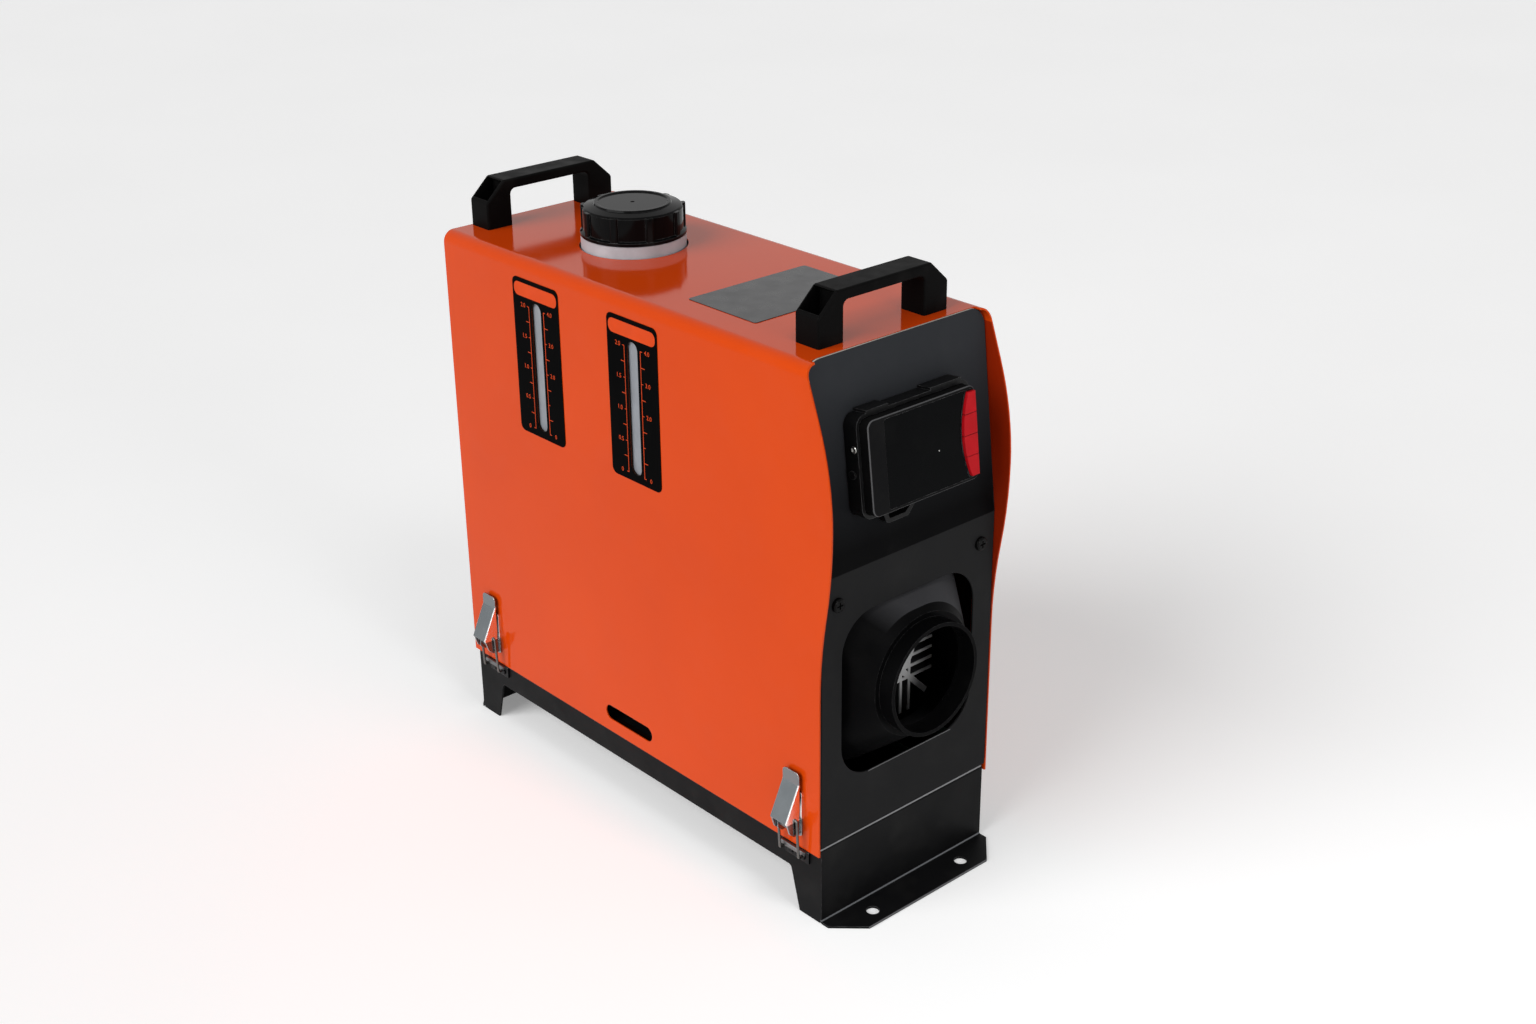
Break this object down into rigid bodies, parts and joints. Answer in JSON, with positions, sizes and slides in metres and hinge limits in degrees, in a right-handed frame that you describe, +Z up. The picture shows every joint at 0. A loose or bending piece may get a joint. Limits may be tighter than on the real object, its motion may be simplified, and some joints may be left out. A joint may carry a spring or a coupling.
{
  "type": "diesel heater",
  "caption": "Portable diesel air heater: latched orange hood on a bolt-down base, round hot-air outlet, leaning panel with controller, fuel tank with screw cap.",
  "frame": {"origin": "middle of the footprint on the floor", "axes": "+Z up, -Y out of the hot-air outlet, -X the side with the two level windows"},
  "size_m": [0.18, 0.419, 0.4035],
  "materials": {
    "orange_paint": "gloss powder coat",
    "black_paint": "satin powder coat",
    "plated_sheet": "zinc plated sheet",
    "zinc": "bright zinc",
    "black_screw": "black oxide",
    "dark_steel": "dull steel",
    "milky_plastic": "milky blow-moulded polyethylene",
    "gloss_black": "gloss",
    "black_plastic": "satin moulded",
    "scale_black": "printed film",
    "label_grey": "plain film",
    "red_plastic": "satin red",
    "board_green": "circuit board",
    "cast_alloy": "as cast",
    "steel": "turned",
    "rubber": "matt",
    "hose": "smooth tube",
    "filter_clear": "clear amber"
  },
  "bodies": {
    "case": {"base_gasket": "rubber", "base_tray": "black_paint", "blower_housing": "cast_alloy", "blower_motor": "steel", "burner_tube": "dark_steel", "cable_grommet": "rubber", "case_screws": "black_screw", "control_unit": "black_plastic", "controller_back": "black_plastic", "controller_board": "board_green", "controller_case": "gloss_black", "controller_cradle": "black_plastic", "controller_window": "gloss_black", "exhaust_stub": "dark_steel", "front_handle": "black_plastic", "front_panel": "black_paint", "fuel_filter": "filter_clear", "fuel_line_feed": "hose", "fuel_line_pressure": "hose", "fuel_line_suction": "hose", "fuel_pump_body": "steel", "fuel_tank": "milky_plastic", "glow_plug": "steel", "heat_exchanger": "cast_alloy", "heater_lower_shell": "black_plastic", "heater_stand": "plated_sheet", "heater_upper_shell": "black_plastic", "hood": "orange_paint", "inlet_grille": "black_plastic", "intake_stub": "black_plastic", "latch_brackets": "plated_sheet", "latch_catches": "dark_steel", "latch_rivets": "zinc", "level_scales": "scale_black", "outlet_duct": "black_plastic", "pump_holder": "rubber", "pump_spring": "dark_steel", "rear_handle": "black_plastic", "rear_panel": "black_paint", "tank_shelf": "plated_sheet", "top_plate": "label_grey", "wiring_loom": "rubber"},
    "lever_left_front": {"latch_lever_left_front": "zinc"},
    "bail_left_front": {"latch_bail_left_front": "zinc"},
    "lever_left_rear": {"latch_lever_left_rear": "zinc"},
    "bail_left_rear": {"latch_bail_left_rear": "zinc"},
    "lever_right_front": {"latch_lever_right_front": "zinc"},
    "bail_right_front": {"latch_bail_right_front": "zinc"},
    "lever_right_rear": {"latch_lever_right_rear": "zinc"},
    "bail_right_rear": {"latch_bail_right_rear": "zinc"},
    "cap_seal": {"fuel_cap_seal": "rubber"},
    "cap": {"fuel_cap": "gloss_black"},
    "button_down": {"button_down": "red_plastic"},
    "button_set": {"button_set": "red_plastic"},
    "button_up": {"button_up": "red_plastic"},
    "button_power": {"button_power": "red_plastic"},
    "blower_rotor": {"rotor_shaft": "dark_steel", "cold_air_fan": "black_plastic", "combustion_wheel": "black_plastic"},
    "pump_piston": {"pump_plunger": "steel"}
  },
  "joints": [
    {"name": "latch_open_left_front", "type": "hinge", "parent": "case", "child": "lever_left_front", "pos_m": [-0.083, -0.164, 0.067], "axis": [0, -1, 0], "range_deg": [0, 120]},
    {"name": "bail_swing_left_front", "type": "hinge", "parent": "lever_left_front", "child": "bail_left_front", "pos_m": [-0.0824, -0.164, 0.0744], "axis": [0, -1, 0], "range_deg": [-120, 0]},
    {"name": "latch_open_left_rear", "type": "hinge", "parent": "case", "child": "lever_left_rear", "pos_m": [-0.083, 0.159, 0.067], "axis": [0, -1, 0], "range_deg": [0, 120]},
    {"name": "bail_swing_left_rear", "type": "hinge", "parent": "lever_left_rear", "child": "bail_left_rear", "pos_m": [-0.0824, 0.159, 0.0744], "axis": [0, -1, 0], "range_deg": [-120, 0]},
    {"name": "latch_open_right_front", "type": "hinge", "parent": "case", "child": "lever_right_front", "pos_m": [0.083, -0.164, 0.067], "axis": [0, 1, 0], "range_deg": [0, 120]},
    {"name": "bail_swing_right_front", "type": "hinge", "parent": "lever_right_front", "child": "bail_right_front", "pos_m": [0.0824, -0.164, 0.0744], "axis": [0, 1, 0], "range_deg": [-120, 0]},
    {"name": "latch_open_right_rear", "type": "hinge", "parent": "case", "child": "lever_right_rear", "pos_m": [0.083, 0.159, 0.067], "axis": [0, 1, 0], "range_deg": [0, 120]},
    {"name": "bail_swing_right_rear", "type": "hinge", "parent": "lever_right_rear", "child": "bail_right_rear", "pos_m": [0.0824, 0.159, 0.0744], "axis": [0, 1, 0], "range_deg": [-120, 0]},
    {"name": "cap_lift", "type": "slide", "parent": "case", "child": "cap_seal", "axis": [0, 0, 1], "range_m": [0, 0.03]},
    {"name": "cap_turn", "type": "hinge", "parent": "cap_seal", "child": "cap", "pos_m": [0, 0.074, 0.39], "axis": [0, 0, 1], "range_deg": [0, 1810]},
    {"name": "press_down", "type": "slide", "parent": "case", "child": "button_down", "axis": [0, 0.9931, -0.1175], "range_m": [0, 0.0008], "stiffness_N_per_m": 500},
    {"name": "press_set", "type": "slide", "parent": "case", "child": "button_set", "axis": [0, 0.9931, -0.1175], "range_m": [0, 0.0008], "stiffness_N_per_m": 500},
    {"name": "press_up", "type": "slide", "parent": "case", "child": "button_up", "axis": [0, 0.9931, -0.1175], "range_m": [0, 0.0008], "stiffness_N_per_m": 500},
    {"name": "press_power", "type": "slide", "parent": "case", "child": "button_power", "axis": [0, 0.9931, -0.1175], "range_m": [0, 0.0008], "stiffness_N_per_m": 500},
    {"name": "blower_spin", "type": "hinge", "parent": "case", "child": "blower_rotor", "pos_m": [0, 0.09, 0.1575], "axis": [0, 1, 0], "continuous": true},
    {"name": "pump_stroke", "type": "slide", "parent": "case", "child": "pump_piston", "axis": [0, 1, 0], "range_m": [0, 0.0025], "stiffness_N_per_m": 400, "deforming": ["pump_spring"]}
  ],
  "couplings": [
    {"joint": "bail_swing_left_front", "follows": "latch_open_left_front", "ratio": -1},
    {"joint": "bail_swing_left_rear", "follows": "latch_open_left_rear", "ratio": -1},
    {"joint": "bail_swing_right_front", "follows": "latch_open_right_front", "ratio": -1},
    {"joint": "bail_swing_right_rear", "follows": "latch_open_right_rear", "ratio": -1},
    {"joint": "cap_turn", "follows": "cap_lift", "rad_per_m": 1047.2}
  ]
}
